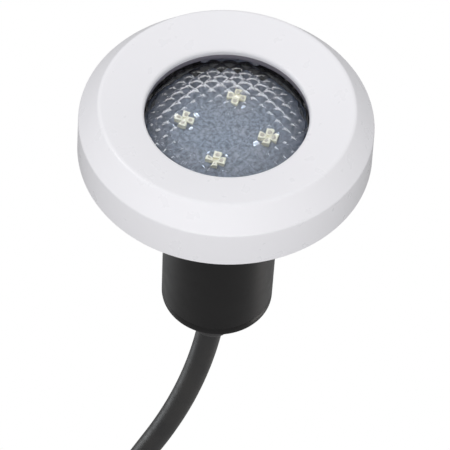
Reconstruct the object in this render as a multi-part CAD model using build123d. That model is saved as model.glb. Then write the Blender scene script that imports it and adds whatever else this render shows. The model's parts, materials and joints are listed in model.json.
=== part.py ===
from build123d import *
import math
import os

os.makedirs("parts", exist_ok=True)

# Underwater pool light for a 1.5 inch wall fitting, in millimetres.
# The origin is on the light's axis, in the plane of the pool wall. The rim of
# the face ring rests on that plane, +Z points out of the wall through the
# lens, and the barrel and the cable hang below it.

# ---- driving dimensions ----------------------------------------------------

# Fit allowances
RUN = 0.05              # radial gap of a running fit
SEAT = 0.1              # gap under a part that rests on a shoulder
FIT = 0.05              # gap around a wire or a seal in its seat

# Face ring, a white moulded shell
RING_R = 50.0           # at the rim, against the wall
RING_BORE_R = 47.25     # bore that slips over the housing flange
RIDGE_R = 49.57         # top of the skirt
RIDGE_Z = 14.57
SHOULDER_R = 42.67      # top of the cone, the highest circle of the ring
SHOULDER_Z = 22.59
LIP_R = 27.6            # aperture
LIP_Z = 18.4            # top of the aperture's lip
LIP_UNDER_Z = 16.2
RING_SHELL = 2.6
LIP_WEB_R = 31.5        # inner edge of the thin part of the dish
CONE_UNDER_R = 42.0     # corner under the shoulder
RING_HEM_R = 46.6       # inside of the skirt above the flange
RING_HEM_Z = 14.2
RIM_ROUND = 0.4
RIDGE_ROUND = 1.2
SHOULDER_ROUND = 1.6
LIP_ROUND = 1.5
NOTCH_W = 7.0           # pry notch in the rim
NOTCH_H = 1.6

# Grip band, a rubber band in a groove of the face ring
BAND_Z0 = 2.4
BAND_Z1 = 4.0
BAND_DEPTH = 1.0
BAND_GAP = 0.03         # around the flange, before the rubber is squeezed

# Housing, one black moulding: flange, lens cup, threaded collar and barrel
FLANGE_R = RING_BORE_R - RUN
FLANGE_Z0 = 1.0
FLANGE_Z1 = 6.0
CUP_R = 39.8
CUP_Z = 11.8
CUP_BORE_R = 27.9
FLANGE_ROUND = 0.5
SEAT_R = 32.05          # pocket for the lens flange
SEAT_Z = 9.6
FLOOR_Z = 1.6
STEM_BORE_R = 15.0
BORE_CONE_Z1 = -14.0    # the bore widens from the stem's to the barrel's here
BORE_CONE_Z0 = -17.0
THREAD_R = 24.13        # 1.5 inch male pipe thread, crest radius
THREAD_PITCH = 2.209    # 11.5 threads to the inch
THREAD_DEPTH = 1.55
THREAD_TURNS = 9
THREAD_TAPER = 1 / 32   # radius lost per millimetre
THREAD_FLANK = 0.42     # share of the pitch taken by each flank
THREAD_ROOT = 0.08      # share taken by the flat at the root
SHANK_END_Z = -2.4
COLLAR_END_Z = -24.4
COLLAR_LAND = 0.3
COLLAR_CHAMFER = 1.3
BARREL_R = 20.2
BARREL_BORE_R = 18.0
BARREL_END_Z = -77.3
COLLAR_ROUND = 0.8

# Wall gasket behind the flange
GASKET_R0 = 24.4
GASKET_R1 = 29.4
GASKET_Z0 = -1.0
GASKET_ROUND = 0.5

# Lens, a clear dome with a flat flange
DOME_R = 95.0           # outside radius of the dome
DOME_TOP_Z = 18.4
LENS_WALL = 2.0
DOME_EDGE_R = 27.7
LENS_BORE_R = 26.4      # hollow under the dome
LENS_R = 31.9
LENS_GASKET_R0 = 29.2
LENS_GASKET_R1 = 31.2
LENS_GASKET_H = 1.2

# Lens retainer and its screws
RETAINER_R = 39.7
RETAINER_Z = 14.0
COAMING_R = 31.0        # raised inner wall around the lens
COAMING_Z = 16.0
COAMING_ROUND = 0.6
RETAINER_ROUND = 0.5
SCREW_COUNT = 6
SCREW_CIRCLE_R = 36.4
SCREW_R = 1.2
SCREW_CLEAR = 0.4       # around a screw in the retainer
SCREW_HEAD_R = 2.6
SCREW_HEAD_H = 1.7
SCREW_DEPTH = 7.0
SCREW_PHASE = 15.0

# Light engine
SPREADER_R = 27.4
SPREADER_Z0 = 1.7
SPREADER_Z1 = 7.4
STEM_R = 14.6
STEM_END_Z = -13.0
PAD_R = 26.6
BOARD_Z0 = 7.7
BOARD_Z1 = 9.3
LED_COUNT = 4
LED_CIRCLE_R = 14.4
LED_PHASE = -11.5
LED_BASE_H = 0.45       # each LED is a cross-shaped base with four square emitters
LED_H = 1.0
EMITTER_SIDE = 2.0
EMITTER_PITCH = 2.15    # from the LED's centre to an emitter's centre
CUP_RADIUS = 0.55       # round cup in each emitter, filled with phosphor
CUP_DEPTH = 0.5
PHOSPHOR_CROWN = 0.2
WIRE_CIRCLE_R = 11.565  # where the two feed wires meet the board
WIRE_PHASE = -28.2
WIRE_R = 0.8
WIRE_END_Z = -22.5      # on the driver board
PAD_CLEAR = 0.4         # around a feed wire in the thermal pad
SPREADER_CLEAR = 0.6    # around a feed wire in the spreader

# Driver
DRIVER_W = 31.0
DRIVER_T = 1.6
DRIVER_Z0 = -57.0
DRIVER_Z1 = -19.0
FRAME_R = 17.8
FRAME_BORE_R = 14.0
FRAME_RING_H = 3.0
FRAME_RING_ZS = (-24.0, -55.0)
FRAME_POST_W = 6.0
FRAME_POST_Y0 = 14.4
FRAME_POST_Y1 = 16.9
SUPPLY_R = 0.93         # supply wires, from the cable's end to the driver board
SUPPLY_PITCH_LOW = 2.4
SUPPLY_PITCH_HIGH = 5.0
SUPPLY_Z0 = -66.4
SUPPLY_Z1 = -53.5
SUPPLY_STANDOFF = 1.8

# End cap
CAP_END_Z = -81.3
CAP_SPIGOT_R = 17.9
CAP_SPIGOT_Z = -70.0
CAP_BORE_R = 11.0
CAP_FLOOR_Z = -78.3
CAP_HOLE_R = 6.5
CAP_GROOVE_R = 16.7
CAP_GROOVE_ZS = (-75.0, -73.2)
CAP_ROUND = 0.9
SEAL_GAP = 0.03         # to the barrel, before the seal is squeezed
SEAL_BEVEL = 0.3
POTTING_Z1 = -60.0

# Cable and strain relief
CABLE_R = 4.8
CABLE_TOP_Z = -67.0
BEND_START_Z = -72.0    # the cable is straight above this and curved below
BEND_R = 295.0
BEND_END_Z = -182.0     # the last stretch is straight again
CABLE_TAIL_L = 20.0
PIVOT_Z = -100.4        # where the free cable starts to bend
RELIEF_R = 8.4
RELIEF_L = 21.7
RELIEF_ROUND = 5.0
RELIEF_FLANGE_R = 10.5
RELIEF_FLANGE_H = 2.4
RELIEF_OVERLAP = 4.0    # the leaning dome is cut level by this much
MOUTH_R0 = 4.75         # the mouth's cone, from inside the boot to its end
MOUTH_R1 = 5.97
MOUTH_LEAD = 1.0        # the cone starts this far above the pivot
MOUTH_L = 3.6
ANCHOR_R = 7.5
ANCHOR_H = 4.0
ANCHOR_GAP = 0.1
CORE_COUNT = 3
CORE_R = 1.55
CORE_CIRCLE_R = 2.0
CORE_BURIED_L = 12.0
CORE_FREE_L = 11.0
COPPER_R = 0.75
COPPER_L = 5.0


# ---- helpers ---------------------------------------------------------------

def lathe(points, rounds=()):
    """Turns a closed (radius, z) outline about Z, with some corners rounded."""
    outline = make_face(Polyline(*points, close=True))
    for corner, radius in rounds:
        nearest = outline.vertices().sort_by_distance(corner)[0]
        outline = fillet(nearest, radius)
    return revolve(Plane.XZ * outline, Axis.Z, 360)


def tube(inner, outer, z0, z1):
    """A plain ring of rectangular section."""
    return lathe([(inner, z0), (outer, z0), (outer, z1), (inner, z1)])


def rod(radius, z0, z1, x=0.0, y=0.0):
    """An upright cylinder from z0 to z1."""
    return Pos(x, y, (z0 + z1) / 2) * Cylinder(radius, z1 - z0)


def block(x0, x1, y0, y1, z0, z1):
    """A box between two corners."""
    centre = Pos((x0 + x1) / 2, (y0 + y1) / 2, (z0 + z1) / 2)
    return centre * Box(x1 - x0, y1 - y0, z1 - z0)


def around(count, radius, phase=0.0):
    """Places equally spaced on a circle, each turned to face outwards."""
    step = 360 / count
    return [Rot(Z=phase + i * step) * Pos(radius, 0, 0) for i in range(count)]


def straight_wire(start, end, radius):
    """A round wire between two points."""
    return sweep(Plane(start, z_dir=Vector(*end) - Vector(*start)) * Circle(radius),
                 path=Line(start, end))


def save(name, shape):
    """Writes one sub-part, or a group of identical ones, to its own file."""
    shape.label = name
    export_step(shape, f"parts/{name}.step")


# ---- cable line ------------------------------------------------------------

def bend_point(z):
    """A point of the cable's centre line, on the bend, at the height z."""
    drop = BEND_START_Z - z
    return (math.sqrt(BEND_R ** 2 - drop ** 2) - BEND_R, 0, z)


def bend_angle(z):
    """How far the cable leans from the vertical at the height z, in degrees."""
    return math.degrees(math.asin((BEND_START_Z - z) / BEND_R))


def bend_direction(z):
    """The cable's direction at the height z, away from the light."""
    lean = math.radians(bend_angle(z))
    return Vector(-math.sin(lean), 0, -math.cos(lean))


def bend_arc(z0, z1):
    """The bent centre line between two heights."""
    return ThreePointArc(bend_point(z0), bend_point((z0 + z1) / 2), bend_point(z1))


def along_bend(radius, z0, z1):
    """A round bar that follows the bend between two heights."""
    start = Plane(bend_point(z0), z_dir=bend_direction(z0))
    return sweep(start * Circle(radius), path=bend_arc(z0, z1))


TAIL_START = Vector(*bend_point(BEND_END_Z))
TAIL_DIRECTION = bend_direction(BEND_END_Z)
TAIL_END = TAIL_START + TAIL_DIRECTION * CABLE_TAIL_L


# ---- front of the light ----------------------------------------------------

def face_ring():
    """Shell with a straight skirt, a conical side and a dished face."""
    dish = (SHOULDER_Z - LIP_Z) / (SHOULDER_R - LIP_R)

    def under_dish(radius):
        return LIP_Z + dish * (radius - LIP_R) - RING_SHELL

    ring = lathe(
        [
            (RING_BORE_R, 0),
            (RING_R, 0),
            (RIDGE_R, RIDGE_Z),
            (SHOULDER_R, SHOULDER_Z),
            (LIP_R, LIP_Z),
            (LIP_R, LIP_UNDER_Z),
            (LIP_WEB_R, LIP_UNDER_Z),
            (LIP_WEB_R, under_dish(LIP_WEB_R)),
            (CONE_UNDER_R, under_dish(CONE_UNDER_R)),
            (RING_HEM_R, RING_HEM_Z),
            (RING_HEM_R, FLANGE_Z1 + SEAT),
            (RING_BORE_R, FLANGE_Z1 + SEAT),
            (RING_BORE_R, BAND_Z1),
            (RING_BORE_R + BAND_DEPTH, BAND_Z1),
            (RING_BORE_R + BAND_DEPTH, BAND_Z0),
            (RING_BORE_R, BAND_Z0),
        ],
        rounds=[
            ((RING_R, 0), RIM_ROUND),
            ((RIDGE_R, RIDGE_Z), RIDGE_ROUND),
            ((SHOULDER_R, SHOULDER_Z), SHOULDER_ROUND),
            ((LIP_R, LIP_Z), LIP_ROUND),
        ],
    )
    half = NOTCH_W / 2
    return ring - block(-half, half, RING_BORE_R - 1, RING_R + 1, -1, NOTCH_H)


def ring_grip_band():
    """Rubber band that holds the face ring on the flange by friction."""
    inner = FLANGE_R + BAND_GAP
    outer = RING_BORE_R + BAND_DEPTH - FIT
    return tube(inner, outer, BAND_Z0 + FIT, BAND_Z1 - FIT)


def lens():
    """Clear dome on a flat flange, hollow underneath."""
    centre = Pos(0, 0, DOME_TOP_Z - DOME_R)
    dome = centre * Sphere(DOME_R) & rod(DOME_EDGE_R, SEAT_Z, DOME_TOP_Z + 1)
    hollow = centre * Sphere(DOME_R - LENS_WALL) & rod(LENS_BORE_R, SEAT_Z - 1, DOME_TOP_Z)
    return dome + rod(LENS_R, SEAT_Z, CUP_Z) - hollow


def lens_gasket():
    """Square-section seal in the groove under the lens flange."""
    return tube(LENS_GASKET_R0 + FIT, LENS_GASKET_R1 - FIT, SEAT_Z - LENS_GASKET_H, SEAT_Z)


def lens_retainer():
    """Clamp ring with a raised wall around the lens."""
    ring = lathe(
        [
            (CUP_BORE_R, CUP_Z + FIT),
            (RETAINER_R, CUP_Z + FIT),
            (RETAINER_R, RETAINER_Z),
            (COAMING_R, RETAINER_Z),
            (COAMING_R, COAMING_Z),
            (CUP_BORE_R, COAMING_Z),
        ],
        rounds=[((CUP_BORE_R, COAMING_Z), COAMING_ROUND), ((RETAINER_R, RETAINER_Z), RETAINER_ROUND)],
    )
    for place in around(SCREW_COUNT, SCREW_CIRCLE_R, SCREW_PHASE):
        ring -= place * rod(SCREW_R + SCREW_CLEAR, CUP_Z - 1, COAMING_Z)
    return ring


def machine_screw(radius, head_r, head_h, under_head_z, depth):
    """Pan-head screw with a hexagon recess, pointing down."""
    crown = head_h * 0.45
    socket_r = head_r * 0.5
    socket_depth = head_h * 0.6
    top = under_head_z + head_h
    shank = rod(radius, under_head_z - depth, under_head_z)
    head = lathe(
        [
            (0, under_head_z),
            (head_r, under_head_z),
            (head_r, top),
            (0, top),
        ],
        rounds=[((head_r, top), crown)],
    )
    recess = extrude(Pos(0, 0, top) * RegularPolygon(socket_r, 6), -socket_depth)
    return shank + head - recess


def retainer_screws():
    """The screws that clamp the lens retainer to the housing."""
    one = machine_screw(SCREW_R, SCREW_HEAD_R, SCREW_HEAD_H, RETAINER_Z, SCREW_DEPTH)
    return Compound(children=[place * one for place in around(SCREW_COUNT, SCREW_CIRCLE_R, SCREW_PHASE)])


# ---- housing ---------------------------------------------------------------

def thread_outline():
    """Ridges of the tapered pipe thread, from the shank down."""
    points = []
    for turn in range(THREAD_TURNS):
        top = SHANK_END_Z - turn * THREAD_PITCH
        crest = THREAD_R - THREAD_TAPER * (SHANK_END_Z - top)
        root = crest - THREAD_DEPTH
        points.append((crest, top))
        points.append((root, top - THREAD_PITCH * THREAD_FLANK))
        points.append((root, top - THREAD_PITCH * (THREAD_FLANK + THREAD_ROOT)))
        points.append((crest, top - THREAD_PITCH * (2 * THREAD_FLANK + THREAD_ROOT)))
    return points


def housing():
    """Flange, lens cup, threaded collar and barrel in one moulding."""
    thread = thread_outline()
    last_r, last_z = thread[-1]
    body = lathe(
        [
            (SEAT_R, CUP_Z),
            (CUP_R, CUP_Z),
            (CUP_R, FLANGE_Z1),
            (FLANGE_R, FLANGE_Z1),
            (FLANGE_R, FLANGE_Z0),
            (THREAD_R, FLANGE_Z0),
            *thread,
            (last_r, last_z - COLLAR_LAND),
            (last_r - COLLAR_CHAMFER, COLLAR_END_Z),
            (BARREL_R, COLLAR_END_Z),
            (BARREL_R, BARREL_END_Z),
            (BARREL_BORE_R, BARREL_END_Z),
            (BARREL_BORE_R, BORE_CONE_Z0),
            (STEM_BORE_R, BORE_CONE_Z1),
            (STEM_BORE_R, FLOOR_Z),
            (CUP_BORE_R, FLOOR_Z),
            (CUP_BORE_R, SEAT_Z),
            (LENS_GASKET_R0, SEAT_Z),
            (LENS_GASKET_R0, SEAT_Z - LENS_GASKET_H),
            (LENS_GASKET_R1, SEAT_Z - LENS_GASKET_H),
            (LENS_GASKET_R1, SEAT_Z),
            (SEAT_R, SEAT_Z),
        ],
        rounds=[((FLANGE_R, FLANGE_Z1), FLANGE_ROUND), ((BARREL_R, COLLAR_END_Z), COLLAR_ROUND)],
    )
    hole = rod(SCREW_R + FIT, RETAINER_Z - SCREW_DEPTH - 1, CUP_Z + 1)
    for place in around(SCREW_COUNT, SCREW_CIRCLE_R, SCREW_PHASE):
        body -= place * hole
    return body


def wall_gasket():
    """Flat rubber gasket between the flange and the wall fitting."""
    outline = [
        (GASKET_R0, GASKET_Z0),
        (GASKET_R1, GASKET_Z0),
        (GASKET_R1, FLANGE_Z0),
        (GASKET_R0, FLANGE_Z0),
    ]
    return lathe(outline, rounds=[((GASKET_R1, GASKET_Z0), GASKET_ROUND)])


# ---- light engine ----------------------------------------------------------

def feed_wire(side, radius=WIRE_R, above=0.0):
    """One slanted wire from the driver to the LED board, or the hole around it."""
    angle = math.radians(WIRE_PHASE)
    top = Vector(side * WIRE_CIRCLE_R * math.cos(angle), side * WIRE_CIRCLE_R * math.sin(angle), BOARD_Z1)
    bottom = Vector(top.X, -side * (DRIVER_T / 2 + FIT + WIRE_R), WIRE_END_Z)
    return straight_wire(bottom, top + (top - bottom).normalized() * above, radius)


def feed_holes(radius):
    """Slanted holes for both feed wires."""
    return [feed_wire(side, radius, above=2.0) for side in (-1, 1)]


def led_board():
    """Metal-core circuit board."""
    board = rod(SPREADER_R, BOARD_Z0, BOARD_Z1)
    for hole in feed_holes(WIRE_R + FIT):
        board -= hole
    return board


def led_places():
    """The LEDs are square to their circle."""
    return around(LED_COUNT, LED_CIRCLE_R, LED_PHASE)


def emitter_places():
    """The four emitters of one LED, in a cross."""
    return around(4, EMITTER_PITCH)


def led_packages():
    """Four LEDs, each a cross-shaped base under four square emitters."""
    half = EMITTER_SIDE / 2
    top = BOARD_Z1 + LED_H
    base_half = EMITTER_PITCH / 2
    base = block(-EMITTER_PITCH, EMITTER_PITCH, -base_half, base_half, BOARD_Z1, BOARD_Z1 + LED_BASE_H)
    led = base + Rot(Z=90) * base
    for place in emitter_places():
        led += place * block(-half, half, -half, half, BOARD_Z1, top)
    for place in emitter_places():
        led -= place * rod(CUP_RADIUS + FIT, top - CUP_DEPTH, top + 1)
    return Compound(children=[place * led for place in led_places()])


def led_phosphors():
    """Phosphor fill of every cup, with a low crown."""
    floor = BOARD_Z1 + LED_H - CUP_DEPTH
    rim = BOARD_Z1 + LED_H
    fill = lathe(
        [
            (0, floor),
            (CUP_RADIUS, floor),
            (CUP_RADIUS, rim),
            (CUP_RADIUS / 2, rim + PHOSPHOR_CROWN * 0.75),
            (0, rim + PHOSPHOR_CROWN),
        ]
    )
    places = [led * emitter for led in led_places() for emitter in emitter_places()]
    return Compound(children=[place * fill for place in places])


def thermal_pad():
    """Adhesive pad that holds the board on the spreader."""
    pad = rod(PAD_R, SPREADER_Z1, BOARD_Z0)
    for hole in feed_holes(WIRE_R + PAD_CLEAR):
        pad -= hole
    return pad


def heat_spreader():
    """Aluminium disc with a stem that reaches into the collar."""
    body = lathe(
        [
            (0, SPREADER_Z1),
            (SPREADER_R, SPREADER_Z1),
            (SPREADER_R, SPREADER_Z0),
            (STEM_R, SPREADER_Z0),
            (STEM_R, STEM_END_Z),
            (0, STEM_END_Z),
        ],
        rounds=[((STEM_R, STEM_END_Z), 1.0)],
    )
    for hole in feed_holes(WIRE_R + SPREADER_CLEAR):
        body -= hole
    return body


# ---- driver ----------------------------------------------------------------

def driver_board():
    """Upright circuit board in the barrel."""
    half = DRIVER_W / 2
    board = block(-half, half, -DRIVER_T / 2, DRIVER_T / 2, DRIVER_Z0, DRIVER_Z1)
    return fillet(board.edges().filter_by(Axis.Y), 1.0)


def driver_frame():
    """Two slotted rings and two posts that hold the board in the barrel."""
    bottom = min(FRAME_RING_ZS)
    top = max(FRAME_RING_ZS) + FRAME_RING_H
    rings = [tube(FRAME_BORE_R, FRAME_R, z, z + FRAME_RING_H) for z in FRAME_RING_ZS]
    half = FRAME_POST_W / 2
    posts = [block(-half, half, FRAME_POST_Y0, FRAME_POST_Y1, bottom, top)]
    posts.append(block(-half, half, -FRAME_POST_Y1, -FRAME_POST_Y0, bottom, top))
    reach = DRIVER_W / 2 + SEAT
    slot = DRIVER_T / 2 + FIT
    return rings[0] + rings[1] + posts[0] + posts[1] - block(-reach, reach, -slot, slot, bottom - 1, top + 1)


def on_front(gap=FIT):
    """Height of the driver board's front face, plus the solder gap."""
    return DRIVER_T / 2 + gap


def inductor():
    """Drum inductor, lying with its axis across the board."""
    radius = 6.0
    height = 7.6
    waist_r = 5.1
    rim_h = 1.4
    slope_h = 0.4
    drum = lathe(
        [
            (0, 0),
            (radius, 0),
            (radius, rim_h),
            (waist_r, rim_h + slope_h),
            (waist_r, height - rim_h - slope_h),
            (radius, height - rim_h),
            (radius, height),
            (0, height),
        ]
    )
    return Pos(-5.0, on_front(), -31.5) * Rot(X=-90) * drum


def capacitors():
    """Two electrolytic cans lying along the board."""
    radius = 4.0
    bottom = -50.6
    top = -39.0
    edge = 0.4
    can = lathe(
        [(0, bottom), (radius, bottom), (radius, top), (0, top)],
        rounds=[((radius, bottom), edge), ((radius, top), edge)],
    )
    y = on_front() + radius
    return Compound(children=[Pos(x, y, 0) * can for x in (-7.0, 2.5)])


def bridge_rectifier():
    """Flat block on the front of the board."""
    side = 8.0
    height = 2.8
    x = 9.2
    z = -32.0
    y = on_front()
    body = block(x - side / 2, x + side / 2, y, y + height, z - side / 2, z + side / 2)
    return chamfer(body.faces().sort_by(Axis.Y)[-1].edges(), 0.4)


def controller_chip():
    """Eight-pin controller on the rear face of the board."""
    width = 6.0
    length = 7.0
    height = 1.5
    x = -4.0
    z = -34.5
    y = -on_front()
    body = block(x - width / 2, x + width / 2, y - height, y, z - length / 2, z + length / 2)
    return chamfer(body.faces().sort_by(Axis.Y)[0].edges(), 0.3)


def fuse():
    """Small cylindrical fuse on the rear face of the board."""
    radius = 2.4
    bottom = -52.0
    top = -42.0
    return rod(radius, bottom, top, 8.0, -on_front() - radius)


def supply_lead(index, radius):
    """One supply wire, from the end of the cable to the driver board."""
    side = index - 1
    start = (side * SUPPLY_PITCH_LOW, 0, SUPPLY_Z0)
    end = (side * SUPPLY_PITCH_HIGH, on_front() + SUPPLY_STANDOFF, SUPPLY_Z1)
    return straight_wire(start, end, radius)


def potting_plug():
    """Resin that seals the end of the cable inside the barrel."""
    plug = rod(CAP_SPIGOT_R, CAP_SPIGOT_Z + FIT, POTTING_Z1)
    plug -= rod(CABLE_R + FIT, CAP_SPIGOT_Z - 1, CABLE_TOP_Z + FIT)
    for index in range(CORE_COUNT):
        plug -= supply_lead(index, SUPPLY_R + FIT)
    return plug


# ---- cable end -------------------------------------------------------------

def end_cap():
    """Closes the barrel and carries the strain relief."""
    groove_z0, groove_z1 = CAP_GROOVE_ZS
    return lathe(
        [
            (CAP_HOLE_R, CAP_END_Z),
            (BARREL_R, CAP_END_Z),
            (BARREL_R, BARREL_END_Z - FIT),
            (CAP_SPIGOT_R, BARREL_END_Z - FIT),
            (CAP_SPIGOT_R, groove_z0),
            (CAP_GROOVE_R, groove_z0),
            (CAP_GROOVE_R, groove_z1),
            (CAP_SPIGOT_R, groove_z1),
            (CAP_SPIGOT_R, CAP_SPIGOT_Z),
            (CAP_BORE_R, CAP_SPIGOT_Z),
            (CAP_BORE_R, CAP_FLOOR_Z),
            (CAP_HOLE_R, CAP_FLOOR_Z),
        ],
        rounds=[((BARREL_R, CAP_END_Z), CAP_ROUND)],
    )


def end_cap_seal():
    """Seal in the groove of the cap's spigot."""
    groove_z0, groove_z1 = CAP_GROOVE_ZS
    outer = BARREL_BORE_R - SEAL_GAP
    mid = (groove_z0 + groove_z1) / 2
    outline = [
        (CAP_GROOVE_R + FIT, groove_z0 + FIT),
        (outer - SEAL_BEVEL, groove_z0 + FIT),
        (outer, mid),
        (outer - SEAL_BEVEL, groove_z1 - FIT),
        (CAP_GROOVE_R + FIT, groove_z1 - FIT),
    ]
    return lathe(outline)


def strain_relief():
    """Rubber boot: domed outside the cap, with a flange behind its floor."""
    lean = bend_angle(CAP_END_Z - RELIEF_L / 2)
    dome = lathe(
        [(0, RELIEF_OVERLAP), (RELIEF_R, RELIEF_OVERLAP), (RELIEF_R, -RELIEF_L), (0, -RELIEF_L)],
        rounds=[((RELIEF_R, -RELIEF_L), RELIEF_ROUND)],
    )
    boot = Pos(0, 0, CAP_END_Z) * Rot(Y=lean) * dome
    reach = RELIEF_R + RELIEF_OVERLAP
    boot -= block(-reach, reach, -reach, reach, CAP_END_Z - FIT, CAP_END_Z + 2 * RELIEF_OVERLAP)
    flange_z = CAP_FLOOR_Z + FIT
    boot += rod(CAP_HOLE_R - FIT, CAP_END_Z - 1, flange_z + 1)
    boot += rod(RELIEF_FLANGE_R, flange_z, flange_z + RELIEF_FLANGE_H)
    boot -= along_bend(CABLE_R + RUN, BEND_START_Z - 0.5, CAP_END_Z - RELIEF_L - 3)
    mouth = Plane(bend_point(PIVOT_Z), z_dir=bend_direction(PIVOT_Z)) * Pos(0, 0, -MOUTH_LEAD)
    # The cone keeps its slope past the end of the boot, so it is twice as long.
    flare_r = 2 * MOUTH_R1 - MOUTH_R0
    flare = Cone(MOUTH_R0, flare_r, 2 * MOUTH_L, align=(Align.CENTER, Align.CENTER, Align.MIN))
    return boot - mouth * flare


def cord_anchor():
    """Crimped sleeve that stops the cable from pulling out."""
    z0 = CAP_FLOOR_Z + RELIEF_FLANGE_H + 2 * FIT
    return tube(CABLE_R + ANCHOR_GAP, ANCHOR_R, z0, z0 + ANCHOR_H)


def cable_root():
    """The cable inside the light, as far as the mouth of the strain relief."""
    straight = rod(CABLE_R, BEND_START_Z, CABLE_TOP_Z)
    bent = along_bend(CABLE_R, BEND_START_Z, PIVOT_Z)
    return straight + bent - Pos(*bend_point(PIVOT_Z)) * Sphere(CABLE_R + RUN)


def core_place(index, distance):
    """The centre of one core, at a distance beyond the end of the jacket."""
    end = Plane(TAIL_END + TAIL_DIRECTION * distance, z_dir=TAIL_DIRECTION)
    return end * Rot(Z=90 + index * 360 / CORE_COUNT) * Pos(CORE_CIRCLE_R, 0, 0)


def cable_core(index, radius=CORE_R):
    """One insulated core, from inside the jacket to its free end."""
    return core_place(index, -CORE_BURIED_L) * rod(radius, 0, CORE_BURIED_L + CORE_FREE_L)


def bare_copper(index, radius=COPPER_R):
    """The stripped end of one core."""
    return core_place(index, CORE_FREE_L - COPPER_L) * rod(radius, 0, 2 * COPPER_L)


def cable_jacket():
    """The free cable, with a round end in the mouth of the strain relief."""
    bent = along_bend(CABLE_R, PIVOT_Z, BEND_END_Z)
    tail = sweep(Plane(TAIL_START, z_dir=TAIL_DIRECTION) * Circle(CABLE_R), path=Line(TAIL_START, TAIL_END))
    jacket = bent + tail + Pos(*bend_point(PIVOT_Z)) * Sphere(CABLE_R)
    for index in range(CORE_COUNT):
        jacket -= cable_core(index, CORE_R + FIT)
    return jacket


# ---- write the parts -------------------------------------------------------

save("face_ring", face_ring())
save("ring_grip_band", ring_grip_band())
save("lens", lens())
save("lens_gasket", lens_gasket())
save("lens_retainer", lens_retainer())
save("retainer_screws", retainer_screws())
save("housing", housing())
save("wall_gasket", wall_gasket())
save("led_board", led_board())
save("led_packages", led_packages())
save("led_phosphors", led_phosphors())
save("thermal_pad", thermal_pad())
save("heat_spreader", heat_spreader())
save("feed_wire_positive", feed_wire(1))
save("feed_wire_negative", feed_wire(-1))
save("driver_board", driver_board())
save("driver_frame", driver_frame())
save("inductor", inductor())
save("capacitors", capacitors())
save("bridge_rectifier", bridge_rectifier())
save("controller_chip", controller_chip())
save("fuse", fuse())
save("potting_plug", potting_plug())
save("end_cap", end_cap())
save("end_cap_seal", end_cap_seal())
save("strain_relief", strain_relief())
save("cord_anchor", cord_anchor())
save("cable_root", cable_root())
save("cable_jacket", cable_jacket())
for number, core_name in enumerate(("live", "neutral", "earth")):
    save(f"supply_lead_{core_name}", supply_lead(number, SUPPLY_R))
    save(f"cable_core_{core_name}", cable_core(number) - bare_copper(number, COPPER_R + FIT))
save("core_conductors", Compound(children=[bare_copper(number) for number in range(CORE_COUNT)]))
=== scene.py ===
import json
import math

import bmesh
import bpy
from mathutils import Matrix, Vector
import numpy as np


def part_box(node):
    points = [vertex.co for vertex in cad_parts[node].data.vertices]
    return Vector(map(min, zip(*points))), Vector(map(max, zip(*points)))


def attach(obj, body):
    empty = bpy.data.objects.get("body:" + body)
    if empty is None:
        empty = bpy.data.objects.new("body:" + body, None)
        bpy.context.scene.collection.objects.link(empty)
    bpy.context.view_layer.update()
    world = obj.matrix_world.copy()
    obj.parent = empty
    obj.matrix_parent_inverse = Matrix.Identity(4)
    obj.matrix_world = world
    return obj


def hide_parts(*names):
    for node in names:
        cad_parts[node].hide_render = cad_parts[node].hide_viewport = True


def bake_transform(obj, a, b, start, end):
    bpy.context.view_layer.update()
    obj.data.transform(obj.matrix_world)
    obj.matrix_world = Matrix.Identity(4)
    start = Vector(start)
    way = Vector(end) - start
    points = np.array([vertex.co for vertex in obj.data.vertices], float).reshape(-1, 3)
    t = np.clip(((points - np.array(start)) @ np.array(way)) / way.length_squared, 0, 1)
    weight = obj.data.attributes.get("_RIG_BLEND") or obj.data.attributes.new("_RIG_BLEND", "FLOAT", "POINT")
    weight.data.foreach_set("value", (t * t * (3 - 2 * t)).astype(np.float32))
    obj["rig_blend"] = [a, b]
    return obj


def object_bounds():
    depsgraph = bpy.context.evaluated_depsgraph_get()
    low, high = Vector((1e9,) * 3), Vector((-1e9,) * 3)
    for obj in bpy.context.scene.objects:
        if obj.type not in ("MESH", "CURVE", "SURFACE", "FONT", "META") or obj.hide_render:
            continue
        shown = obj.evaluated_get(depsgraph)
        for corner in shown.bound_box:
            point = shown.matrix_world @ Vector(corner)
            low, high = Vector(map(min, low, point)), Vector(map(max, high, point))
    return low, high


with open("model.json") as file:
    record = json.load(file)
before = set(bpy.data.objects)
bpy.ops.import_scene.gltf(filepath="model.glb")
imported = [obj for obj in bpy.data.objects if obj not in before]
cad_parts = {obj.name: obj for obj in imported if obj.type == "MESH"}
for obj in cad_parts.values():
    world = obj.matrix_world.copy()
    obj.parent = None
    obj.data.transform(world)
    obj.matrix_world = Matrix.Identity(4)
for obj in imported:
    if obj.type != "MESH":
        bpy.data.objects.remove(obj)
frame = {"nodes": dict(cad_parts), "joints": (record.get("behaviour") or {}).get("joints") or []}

CAD_LOW, CAD_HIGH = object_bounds()

# ---- sizes -----------------------------------------------------------------
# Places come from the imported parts. What the boxes can't tell is named here,
# in millimetres. +Z points out of the lens and z = 0 is the pool wall.

MM = 0.001

RING_SHELL = 2.6
RING_RIM_R = 50.0
RIDGE_R = 49.57
RIDGE_Z = 14.57
SHOULDER_R = 42.67
SHOULDER_Z = 22.59
LIP_R = 27.6
LIP_Z = 18.4
LIP_UNDER_Z = 16.2
LIP_WEB_R = 31.5        # inner edge of the thin part of the dish
CONE_UNDER_R = 42.0     # corner under the shoulder
RING_BORE_R = 47.25
RING_HEM_R = 46.6
RING_HEM_Z0 = 6.1
RING_HEM_Z1 = 14.2
BAND_Z0 = 2.4           # groove of the grip band
BAND_Z1 = 4.0
BAND_DEPTH = 1.0
NOTCH_W = 7.0           # pry notch in the rim
NOTCH_H = 1.6
NOTCH_L = 6.0
NOTCH_R = 49.0          # from the axis to the notch's middle
NOTCH_ROUND = 0.7

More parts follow.
